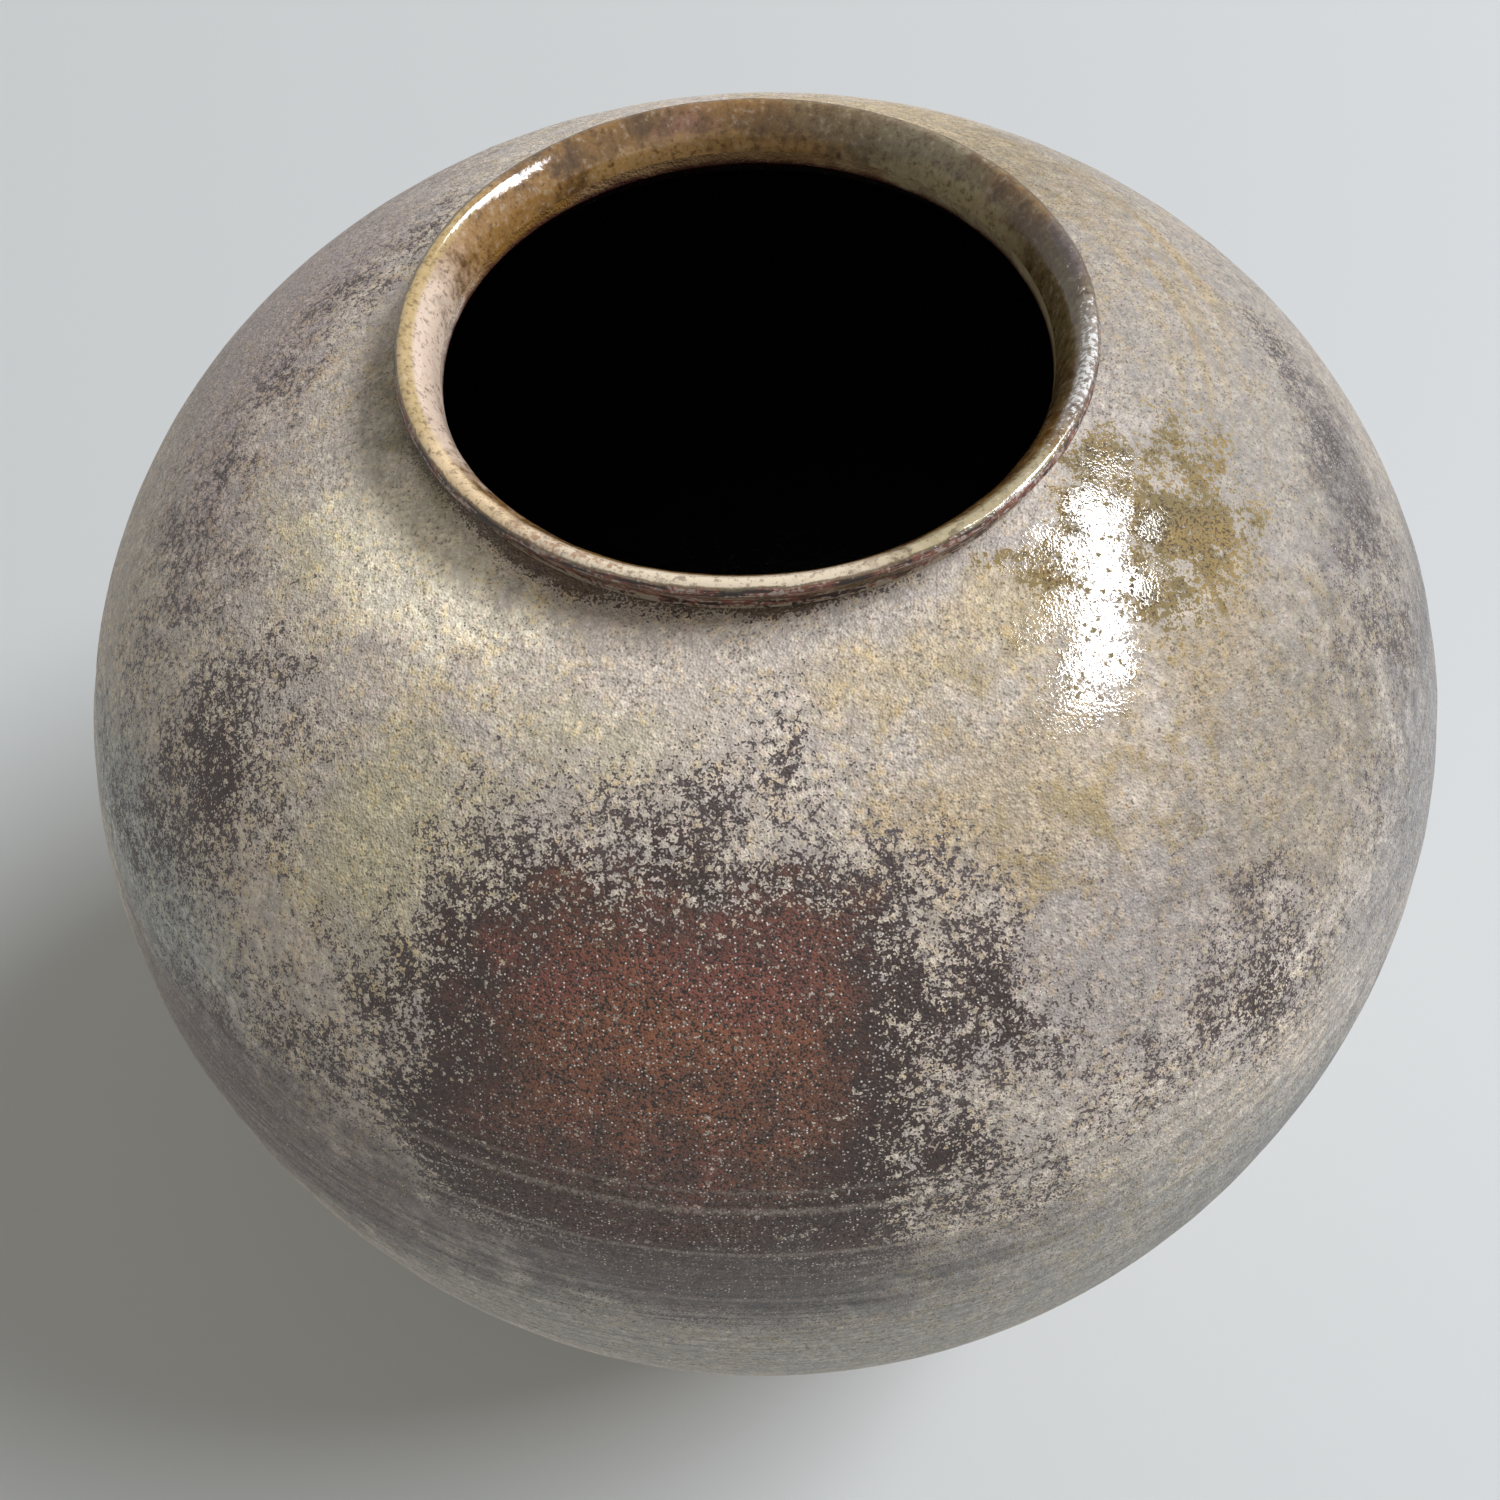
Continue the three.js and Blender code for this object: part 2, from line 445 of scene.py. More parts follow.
# wood-ash glaze on red-brown stoneware, fired with the ash flying in the kiln: a dry pale crust of half-melted islands,
# dark speckle where it lies thin, bare red clay in one window, and one dull olive pool with a stripe like a mirror
# patches: turn from the front in degrees, length up the wall from the belly in mm, half sizes of both, strength
ashGlaze = {
    "islandCream": 0xE8DAC7,
    "islandPink": 0xDFCCBE,
    "islandYellow": 0xDEC392,
    "gap": 0xC6BAAE,
    "lilacAsh": 0xB9AFAC,
    "creamAsh": 0xE6D0B2,
    "ashMean": 0xCABDAE,
    "paleGrain": 0xF6EEE2,
    "shadeGrain": 0x6A5F57,
    "darkSpeck": 0x3C2A25,
    "mauveSpeck": 0x5C4F4D,
    "streakSpeck": 0x695D57,
    "redClay": 0x875143,
    "orangeClay": 0x8B5840,
    "brownClay": 0x5A443B,
    "paleRib": 0xB4A89E,
    "groove": 0x4A403B,
    "pit": 0x251A14,
    # painted highlight: the colour of the white glint dots
    "paintedGlint": 0xFBF3EA,
    "ochre": 0xAE9866,
    "olive": 0x8F7D54,
    "amber": 0xA48A58,
    # painted shade: near-black for the inside of the hollow
    "hollowShade": 0x15100E,
    # painted light: the throat is lighter than the collar to make up for the shade on its upright wall
    "throat": 0xBE9A70,
    "throatEdge": 0x54302A,
    "dustSize": 0.32,
    "grainSize": 0.6,
    "islandSize": 1.1,
    "smudgeSize": 2.2,
    "wispSize": 5.0,
    "blotchSize": 13.0,
    "cloudSize": 26.0,
    "sandSize": 0.52,
    "shake": 0.9,  # of the islands' outlines
    "drift": 16.0,  # of the patches' outlines, degrees and mm
    "streakSize": (12, 1.1),  # degrees round the wall, mm up it
    "sweepSize": (70, 3.2),
    "bandSize": (60, 1.3),
    "ribSlant": 0.034,  # mm up for each degree to the left
    "ribWave": 1.6,
    "crustRough": (0.68, 0.46),
    "haloRough": 0.6,
    "poolRough": 0.88,
    "mirrorRough": 0.06,
    "hollowShadeRough": 0.30,
    "glazeIor": 1.58,
    "reliefStrength": 0.55,
    "reliefDepth": 0.3,
    "window": [(-9, 70, 28, 44, 4.2)],
    "thin": [
        (15, 80, 10, 28, 0.95), (10, 98, 12, 13, 0.5), (-10, 103, 16, 14, 0.85), (-3, 101, 14, 8, 0.75),
        (-5, 110, 13, 12, 0.4), (2, 116, 8, 14, 0.3),
        (-32, 74, 11, 26, 0.6), (-26, 94, 10, 13, 0.35), (-37, 58, 16, 22, 0.4), (-48, 47, 22, 14, 0.3),
        (-57, 84, 16, 30, 1.0), (-58, 66, 17, 20, 0.5), (-79, 93, 18, 20, 0.2), (-72, 76, 16, 22, 0.0),
        (-86, 101, 14, 14, 0.3), (-97, 108, 16, 14, 0.3), (-111, 116, 18, 14, 0.3), (-125, 123, 18, 13, 0.3),
        (37, 58, 12, 24, 0.7), (40, 74, 6, 10, 0.3), (25, 60, 11, 16, 0.1), (15, 46, 10, 20, 0.3),
        (57, 62, 10, 14, -0.1), (67, 77, 14, 14, 0.1), (76, 83, 15, 13, 0.35), (86, 89, 15, 12, 0.4),
        (97, 94, 14, 11, 0.35), (72, 70, 15, 14, 0.0),
        (-8, 38, 27, 18, 0.8), (-8, 26, 28, 15, 0.3), (-44, 34, 28, 28, 0.5), (-64, 56, 24, 20, 0.3),
        (-30, 137, 44, 2.0, 0.1), (-74, 137, 20, 3.0, 0.5),
        (118, 66, 22, 30, 0.5), (158, 42, 26, 50, 1.4), (-146, 66, 30, 44, 1.0), (-128, 12, 34, 30, 0.4),
        (60, -34, 40, 34, 0.4), (-20, -52, 50, 30, 0.4), (130, -40, 44, 36, 0.5), (-100, -60, 50, 34, 0.4),
    ],
    "bare": [(-10, 71, 22, 43, 3.6), (156, 42, 14, 28, 2.0)],
    "tints": [
        (0xFFF2D8, [(-52, 126, 30, 16, 1.2)]),
        (0xDCCDBC, [(-15, 123, 40, 20, 1.0), (-60, 112, 22, 16, 0.4)]),
        (0xCBBFA0, [(-37, 94, 16, 28, 1.0), (-64, 112, 24, 16, 0.0), (-20, 116, 24, 14, 0.0)]),
        (0xB0A098, [(-112, 98, 48, 32, 1.6), (-84, 98, 22, 20, 0.6)]),
        (0xB6B8B2, [(-62, 54, 28, 24, 1.0)]),
        (0x8A7F77, [(-42, 32, 30, 28, 1.6)]),
        (0x857C77, [(-6, 36, 30, 16, 1.0)]),
        (0xB2A69C, [(28, 78, 24, 30, 1.0)]),
        (0xA29583, [(50, 84, 26, 36, 1.0)]),
        (0xA69B8E, [(104, 92, 60, 70, 3.0)]),
        (0xBDAA8E, [(24, 104, 26, 22, 1.0), (50, 104, 24, 16, 0.5)]),
        (0x98928D, [(70, 46, 40, 40, 1.2), (60, 10, 60, 44, 0.6)]),
        (0x928A84, [(82, 86, 22, 16, 0.8)]),
        (0xA8A196, [(10, 10, 70, 44, 2.0)]),
        (0xC4B190, [(34, 125, 20, 12, 1.0), (18, 124, 26, 12, 0.4)]),
        (0xBFAB8A, [(150, 118, 50, 30, 1.2)]),
        # painted shadow: dark olive at the collar's foot on the left
        (0x968A6E, [(-76, 134, 36, 7, 0.8)]),
    ],
    "dashes": [(30, 98, 34, 24, 0.5), (60, 94, 24, 22, 0.1), (20, 122, 32, 16, 0.3), (34, 124, 14, 14, 0.5)],
    "swept": [(104, 112, 60, 34, 1.0)],
    "sweepYellow": 0xCBB287,
    "pool": [
        (58, 117, 32, 17, 2.2), (37, 113, 9, 6, 0.9), (50, 113, 10, 6, 2.0), (46, 127, 14, 9, 2.6),
        (60, 128, 14, 9, 2.6), (44, 132.5, 16, 4, 2.2),
    ],
    # partly painted shade: the dark corner band under the collar
    "cornerRunAndShade": [(-40, 137, 42, 3.9, 1.0), (-72, 137.5, 26, 5.4, 1.1), (2, 137, 28, 2.6, 0.7)],
    "cornerBrown": 0x6B5440,
    "cornerShadeDark": 0x2F2620,
    "mirror": [
        (64, 129, 8, 5, 1.6), (55, 127, 7, 6, 1.8), (51, 124, 6, 5.5, 1.8), (47, 121, 6.5, 5.5, 1.8),
        (42, 117, 7, 6, 1.8), (38, 113, 8, 6, 1.8), (34, 110, 8, 5, 1.2), (43, 130.5, 8, 3, 1.8),
        (47, 126, 6, 4, 1.6), (38, 122, 8, 3.4, 1.6), (51, 116, 4.5, 3.4, 1.2), (57, 120, 4, 3, 0.6),
    ],
    # painted light: these throat tints are lightened against the shade on the upright wall
    "throatPaintedLightTints": [
        (0xF0DAC6, [(-82, 134, 58, 40, 1.4)]),
        (0xA97E42, [(-130, 134, 34, 40, 1.0)]),
        (0xD4C6A2, [(112, 134, 70, 40, 1.4)]),
    ],
    "ribs": [  # colour, level at the front and half width in mm, strength
        ("paleRib", 56.4, 0.7, 0.3), ("paleRib", 52.9, 1.0, 0.55),
        ("paleRib", 43.9, 0.6, 0.6), ("paleRib", 31.4, 0.7, 0.45),
        ("groove", 54.6, 0.7, 0.4), ("groove", 51.2, 0.8, 0.4),
        ("groove", 41.8, 1.0, 0.5), ("groove", 29.4, 1.2, 0.5),
    ],
}


def ashGlazedStoneware():
    look = ashGlaze
    material, tree, shader, add, place = startMaterial("ashGlazedStoneware")
    turn = addTurn(tree, place)
    along = add("Attribute", {"attribute_name": "along"}, output="Fac")
    chart = add("CombineXYZ", None, {0: turn, 1: along})

    # noises from the size of kiln draughts down to single grains
    cloud = add("TexNoise", None, {"Vector": place, "Scale": perMm(look["cloudSize"]), "Detail": 2.0})
    blotch = add("TexNoise", None, {"Vector": place, "Scale": perMm(look["blotchSize"]), "Detail": 2.0}, "Color")
    wispScale = perMm(look["wispSize"])
    wisps = add("TexNoise", None, {"Vector": place, "Scale": wispScale, "Detail": 3.0, "Roughness": 0.6}, "Color")
    wisp = add("SeparateXYZ", None, {0: wisps}, 0)
    otherWisp = wisp.node.outputs[1]
    thirdWisp = wisp.node.outputs[2]
    grains = add("TexNoise", None, {"Vector": place, "Scale": perMm(look["grainSize"]), "Detail": 1.0}, "Color")
    grain = add("SeparateXYZ", None, {0: grains}, 0)
    dust = add("TexNoise", None, {"Vector": place, "Scale": perMm(look["dustSize"]), "Detail": 0.0})
    grit = add("Math", timesPlus, {0: dust, 1: 0.8, 2: grain})

    # round islands of melted ash, their outlines shaken by the grains
    shaken = add("VectorMath", timesPlus, {0: grains, 1: [look["shake"] * mm] * 3, 2: place})
    island = add("TexVoronoi", None, {"Vector": shaken, "Scale": perMm(look["islandSize"])}, "Distance")
    lots = add("SeparateXYZ", None, {0: island.node.outputs["Color"]}, 0)
    otherLots = lots.node.outputs[1]

    drift = add("VectorMath", minus, {0: blotch, 1: (0.5, 0.5, 0.5)})
    drift = add("VectorMath", times, {0: drift, 1: (look["drift"], look["drift"], 0.0)})
    frayed = add("VectorMath", plus, {0: chart, 1: drift})

    # the rib drew the low part of the wall into level streaks
    streakPlace = add("VectorMath", {"operation": "DIVIDE"}, {0: chart, 1: (*look["streakSize"], 1.0)})
    streak = add("TexNoise", None, {"Vector": streakPlace, "Scale": 1.0, "Detail": 4.0, "Roughness": 0.65})
    low = add("MapRange", smooth, {0: along, 1: 56.0, 2: 34.0})

    # how thin the ash lies, with wisps, islands and grains breaking its edges
    speck = add("Math", timesPlus, {0: island, 1: 1.8, 2: -1.106})
    speck = add("Math", timesPlus, {0: lots, 1: 0.7, 2: speck})
    speck = add("Math", timesPlus, {0: wisp, 1: 2.2, 2: speck})
    drawn = add("Math", timesPlus, {0: streak, 1: 4.4, 2: -1.1})
    broken = add("Mix", numbers, {0: low, 2: speck, 3: drawn})
    broken = add("Math", timesPlus, {0: grit, 1: 3.6, 2: broken})
    broken = add("Math", minus, {0: broken, 1: 4.64})
    patched = addPatches(tree, frayed, look["thin"])
    window = addPatches(tree, frayed, look["window"], True)
    patched = add("Math", larger, {0: patched, 1: window})
    patched = add("Clamp", None, {0: patched, 1: -1.5, 2: 1.35})
    thin = add("Math", plus, {0: patched, 1: broken})
    dark = add("MapRange", smooth, {0: thin, 1: -0.2, 2: 0.2})

    # ash: cream, pink and yellow islands in a cooler ground, with pale and shaded grains
    pinkness = add("MapRange", smooth, {0: lots, 1: 0.35, 2: 0.65})
    crust = add("Mix", colours, {0: pinkness, 6: srgb(look["islandCream"]), 7: srgb(look["islandPink"])}, 2)
    yellowness = add("Math", timesPlus, {0: wisp, 1: 3.4, 2: otherLots})
    yellowness = add("MapRange", smooth, {0: yellowness, 1: 2.2, 2: 2.7, 4: 0.6})
    crust = add("Mix", colours, {0: yellowness, 6: crust, 7: srgb(look["islandYellow"])}, 2)
    creamy = add("MapRange", smooth, {0: otherWisp, 1: 0.48, 2: 0.68, 4: 0.75})
    crust = add("Mix", colours, {0: creamy, 6: crust, 7: srgb(look["creamAsh"])}, 2)
    lilac = add("MapRange", smooth, {0: thirdWisp, 1: 0.46, 2: 0.66, 4: 0.75})
    crust = add("Mix", colours, {0: lilac, 6: crust, 7: srgb(look["lilacAsh"])}, 2)
    covered = add("Math", timesPlus, {0: cloud, 1: -0.8, 2: island})
    covered = add("MapRange", smooth, {0: covered, 1: 0.32, 2: -0.10})
    ash = add("Mix", colours, {0: covered, 6: srgb(look["gap"]), 7: crust}, 2)
    pale = add("MapRange", smooth, {0: grit, 1: 0.94, 2: 1.24, 4: 0.6})
    ash = add("Mix", colours, {0: pale, 6: ash, 7: srgb(look["paleGrain"])}, 2)
    sooty = add("Math", timesPlus, {0: thirdWisp, 1: 0.5, 2: grit})
    shade = add("MapRange", smooth, {0: sooty, 1: 1.06, 2: 0.74, 4: 0.8})
    ash = add("Mix", colours, {0: shade, 6: ash, 7: srgb(look["shadeGrain"])}, 2)

    # regional tints change the ash's mean colour and keep its texture
    mean = srgb(look["ashMean"])
    for tint, patches in look["tints"]:
        ratio = [wanted / usual for wanted, usual in zip(srgb(tint), mean)]
        share = addPatches(tree, frayed, patches)
        share = add("Math", timesPlus, {0: wisp, 1: 1.6, 2: share})
        share = add("MapRange", smooth, {0: share, 1: -0.3, 2: 1.3})
        ash = add("Mix", tinting, {0: share, 6: ash, 7: ratio}, 2)
    dashes = addPatches(tree, frayed, look["dashes"])
    dashes = add("Math", timesPlus, {0: wisp, 1: 3.4, 2: dashes})
    dashes = add("Math", timesPlus, {0: grain, 1: 1.6, 2: dashes})
    dashes = add("MapRange", smooth, {0: dashes, 1: 2.6, 2: 3.2, 4: 0.65})
    ash = add("Mix", colours, {0: dashes, 6: ash, 7: srgb(look["ochre"])}, 2)

    # the flame drew the ash on the far right into level yellow sweeps
    sweepPlace = add("VectorMath", {"operation": "DIVIDE"}, {0: chart, 1: (*look["sweepSize"], 1.0)})
    sweep = add("TexNoise", None, {"Vector": sweepPlace, "Scale": 1.0, "Detail": 3.0, "Roughness": 0.6})
    swept = addPatches(tree, frayed, look["swept"])
    swept = add("Math", timesPlus, {0: sweep, 1: 5.0, 2: swept})
    swept = add("MapRange", smooth, {0: swept, 1: 2.5, 2: 3.7, 4: 0.8})
    ratio = [wanted / usual for wanted, usual in zip(srgb(look["sweepYellow"]), mean)]
    ash = add("Mix", tinting, {0: swept, 6: ash, 7: ratio}, 2)

    # dark speckle and bare clay, the clay with pits, with white dots of painted glint on both: highlights painted into
    # the colour
    depth = add("MapRange", smooth, {0: patched, 1: -0.4, 2: 0.7})
    speckColour = add("Mix", colours, {0: depth, 6: srgb(look["mauveSpeck"]), 7: srgb(look["darkSpeck"])}, 2)
    speckColour = add("Mix", colours, {0: low, 6: speckColour, 7: srgb(look["streakSpeck"])}, 2)
    burnt = add("MapRange", smooth, {0: grit, 1: 0.95, 2: 0.68, 4: 0.8})
    speckColour = add("Mix", colours, {0: burnt, 6: speckColour, 7: srgb(look["pit"])}, 2)
    warmth = add("MapRange", smooth, {0: cloud, 1: 0.58, 2: 0.42})
    clay = add("Mix", colours, {0: warmth, 6: srgb(look["redClay"]), 7: srgb(look["orangeClay"])}, 2)
    smoked = add("Math", timesPlus, {0: along, 1: -0.012, 2: wisp})
    smoked = add("MapRange", smooth, {0: smoked, 1: -0.46, 2: -0.12, 4: 0.85})
    clay = add("Mix", colours, {0: smoked, 6: clay, 7: srgb(look["brownClay"])}, 2)
    pits = add("Math", timesPlus, {0: dust, 1: 1.4, 2: grain})
    pits = add("MapRange", smooth, {0: pits, 1: 1.24, 2: 0.98})
    clay = add("Mix", colours, {0: pits, 6: clay, 7: srgb(look["pit"])}, 2)
    bare = addPatches(tree, frayed, look["bare"], True)
    bare = add("Math", timesPlus, {0: wisp, 1: 3.0, 2: bare})
    bare = add("MapRange", smooth, {0: bare, 1: 1.3, 2: 3.2})
    thinColour = add("Mix", colours, {0: bare, 6: speckColour, 7: clay}, 2)
    thinColour = add("Mix", colours, {0: dark, 6: ash, 7: thinColour}, 2)
    # painted highlights: small white glint dots, thickest on the speckle and bare clay
    sand = add("TexVoronoi", None, {"Vector": place, "Scale": perMm(look["sandSize"])}, "Distance")
    glint = add("SeparateXYZ", None, {0: sand.node.outputs["Color"]}, 0)
    glint = add("MapRange", smooth, {0: glint, 1: 0.30, 2: 0.90})
    paintedGlint = add("MapRange", smooth, {0: sand, 1: 0.34, 2: 0.12})
    paintedGlint = add("Math", times, {0: paintedGlint, 1: glint})
    onDark = add("MapRange", None, {0: dark, 3: 0.3, 4: 1.0})
    paintedGlint = add("Math", times, {0: paintedGlint, 1: onDark})
    wallColour = add("Mix", colours, {0: paintedGlint, 6: thinColour, 7: srgb(look["paintedGlint"])}, 2)

    # level lines from the rib: darker and paler bands low on the wall, single pale ribs and dark grooves at the front
    linePlace = add("VectorMath", {"operation": "DIVIDE"}, {0: chart, 1: (*look["bandSize"], 1.0)})
    line = add("TexNoise", None, {"Vector": linePlace, "Scale": 1.0, "Detail": 3.0, "Roughness": 0.6})
    lined = add("MapRange", smooth, {0: along, 1: 70.0, 2: 50.0, 3: 0.10, 4: 0.55})
    band = add("MapRange", None, {0: line, 1: 0.3, 2: 0.7, 3: -0.5, 4: 0.5})
    band = add("Math", times, {0: band, 1: lined})
    smudgeScale = perMm(look["smudgeSize"])
    smudge = add("TexNoise", None, {"Vector": place, "Scale": smudgeScale, "Detail": 3.0, "Roughness": 0.7})
    smudge = add("MapRange", None, {0: smudge, 1: 0.25, 2: 0.75, 3: 0.72, 4: 1.28})
    band = add("Math", plus, {0: band, 1: smudge})
    wallColour = add("VectorMath", {"operation": "SCALE"}, {0: wallColour, 3: band})
    slanted = add("Math", timesPlus, {0: turn, 1: look["ribSlant"], 2: along})
    slanted = add("Math", timesPlus, {0: cloud, 1: look["ribWave"], 2: slanted})
    front = add("Math", plus, {0: turn, 1: 15.0})
    front = add("Math", absolute, {0: front})
    front = add("MapRange", smooth, {0: front, 1: 32.0, 2: 18.0})
    worn = add("MapRange", smooth, {0: grit, 1: 0.75, 2: 1.05, 3: 0.35, 4: 1.0})
    front = add("Math", times, {0: front, 1: worn})
    for tone, level, half, strength in look["ribs"]:
        away = add("Math", minus, {0: slanted, 1: level + look["ribWave"] / 2})
        away = add("Math", absolute, {0: away})
        rib = add("MapRange", smooth, {0: away, 1: half, 2: 0.0, 4: strength})
        rib = add("Math", times, {0: rib, 1: front})
        wallColour = add("Mix", colours, {0: rib, 6: wallColour, 7: srgb(look[tone])}, 2)

    # dark band in the corner under the collar, ragged below: brown where it stands for the collar's outer wall, dark
    # where it is partly glaze run-off and partly painted shade at the collar's foot
    cornerRunAndShade = addPatches(tree, chart, look["cornerRunAndShade"])
    cornerRunAndShade = add("Math", timesPlus, {0: wisp, 1: 2.4, 2: cornerRunAndShade})
    cornerRunAndShade = add("Math", timesPlus, {0: grit, 1: 2.4, 2: cornerRunAndShade})
    cornerTone = add("MapRange", smooth, {0: cornerRunAndShade, 1: 2.6, 2: 3.8})
    cornerColour = add("Mix", colours, {0: cornerTone, 6: srgb(look["cornerShadeDark"]), 7: srgb(look["cornerBrown"])}, 2)
    cornerRunAndShade = add("MapRange", smooth, {0: cornerRunAndShade, 1: 2.6, 2: 3.0, 4: 0.9})
    wallColour = add("Mix", colours, {0: cornerRunAndShade, 6: wallColour, 7: cornerColour}, 2)

    # the melted pool, ragged at its edges, and the half-melted ash round it
    pool = addPatches(tree, frayed, look["pool"])
    pool = add("Math", {"operation": "MINIMUM"}, {0: pool, 1: 1.5})
    pool = add("Math", timesPlus, {0: wisp, 1: 4.4, 2: pool})
    pool = add("Math", timesPlus, {0: grit, 1: 3.0, 2: pool})
    pool = add("Math", timesPlus, {0: island, 1: -2.0, 2: pool})
    halo = add("MapRange", smooth, {0: pool, 1: 3.7, 2: 4.6})
    pool = add("MapRange", smooth, {0: pool, 1: 4.4, 2: 4.65})
    melted = add("Math", times, {0: halo, 1: 0.35})
    wallColour = add("Mix", colours, {0: melted, 6: wallColour, 7: srgb(look["ochre"])}, 2)
    poolTone = add("MapRange", smooth, {0: otherWisp, 1: 0.40, 2: 0.60})
    poolColour = add("Mix", colours, {0: poolTone, 6: srgb(look["olive"]), 7: srgb(look["amber"])}, 2)
    poolColour = add("Mix", colours, {0: burnt, 6: poolColour, 7: srgb(look["darkSpeck"])}, 2)
    wallColour = add("Mix", colours, {0: pool, 6: wallColour, 7: poolColour}, 2)

    # one stripe of it set like a mirror, with dull pits
    mirror = addPatches(tree, chart, look["mirror"])
    mirror = add("Math", timesPlus, {0: wisp, 1: 3.6, 2: mirror})
    mirror = add("Math", timesPlus, {0: grit, 1: 3.0, 2: mirror})
    mirror = add("MapRange", smooth, {0: mirror, 1: 3.95, 2: 4.3})
    pocked = add("MapRange", smooth, {0: lots, 1: 0.70, 2: 0.82})
    pocked = add("Math", times, {0: pocked, 1: mirror})
    pitMiddle = add("MapRange", smooth, {0: island, 1: 0.42, 2: 0.28})
    pocked = add("Math", times, {0: pocked, 1: pitMiddle})
    wallColour = add("Mix", colours, {0: pocked, 6: wallColour, 7: srgb(look["olive"])}, 2)
    mirror = add("Math", minus, {0: mirror, 1: pocked})

    # inside: near-black, painted shade for the dark of the hollow, red-brown at the throat's edge; joints and underside
    # are bare clay
    side = add("Attribute", {"attribute_name": "inside"}, output="Fac")
    edge = add("Math", timesPlus, {0: wisp, 1: 3.0, 2: along})
    edge = add("MapRange", smooth, {0: edge, 1: 120.0, 2: 129.0})
    hollowColour = add("Mix", colours, {0: edge, 6: srgb(look["hollowShade"]), 7: srgb(look["throatEdge"])}, 2)
    # the throat's colours carry painted light, lightened against the shade of its upright wall
    throat = add("Math", timesPlus, {0: wisp, 1: 6.0, 2: along})
    throat = add("MapRange", smooth, {0: throat, 1: 131.0, 2: 136.0})
    throatColour = srgb(look["throat"])
    for tint, patches in look["throatPaintedLightTints"]:
        share = addPatches(tree, chart, patches)
        share = add("Math", timesPlus, {0: wisp, 1: 2.0, 2: share})
        share = add("MapRange", smooth, {0: share, 1: 0.5, 2: 1.6})
        throatColour = add("Mix", colours, {0: share, 6: throatColour, 7: srgb(tint)}, 2)
    stained = add("MapRange", smooth, {0: otherWisp, 1: 0.56, 2: 0.40, 4: 0.3})
    throatColour = add("Mix", colours, {0: stained, 6: throatColour, 7: srgb(look["throatEdge"])}, 2)
    hollowColour = add("Mix", colours, {0: throat, 6: hollowColour, 7: throatColour}, 2)
    isInside = add("MapRange", smooth, {0: side, 1: 0.4, 2: 0.6})
    isJoint = add("MapRange", smooth, {0: side, 1: 1.4, 2: 1.6})
    colour = add("Mix", colours, {0: isInside, 6: wallColour, 7: hollowColour}, 2)
    colour = add("Mix", colours, {0: isJoint, 6: colour, 7: clay}, 2)
    tree.links.new(colour, shader.inputs["Base Color"])

    lowGrain, highGrain = look["crustRough"]
    rough = add("MapRange", None, {0: grain, 1: 0.3, 2: 0.7, 3: lowGrain, 4: highGrain})
    rough = add("Mix", numbers, {0: halo, 2: rough, 3: look["haloRough"]})
    rough = add("Mix", numbers, {0: pool, 2: rough, 3: look["poolRough"]})
    rough = add("Mix", numbers, {0: mirror, 2: rough, 3: look["mirrorRough"]})
    rough = add("Mix", numbers, {0: isInside, 2: rough, 3: look["hollowShadeRough"]})
    tree.links.new(rough, shader.inputs["Roughness"])
    shader.inputs["IOR"].default_value = look["glazeIor"]

    # islands and grains of the crust stand a little proud; the pool lies flatter
    relief = add("Math", timesPlus, {0: island, 1: -0.8, 2: grit})
    calm = add("Math", timesPlus, {0: wisp, 1: 0.7, 2: 0.2})
    calm = add("Math", timesPlus, {0: grit, 1: 0.18, 2: calm})
    flat = add("Math", larger, {0: pool, 1: mirror})
    relief = add("Mix", numbers, {0: flat, 2: relief, 3: calm})
    depth = look["reliefDepth"] * mm
    bump = add("Bump", None, {"Strength": look["reliefStrength"], "Distance": depth, "Height": relief})
    tree.links.new(bump, shader.inputs["Normal"])
    return material


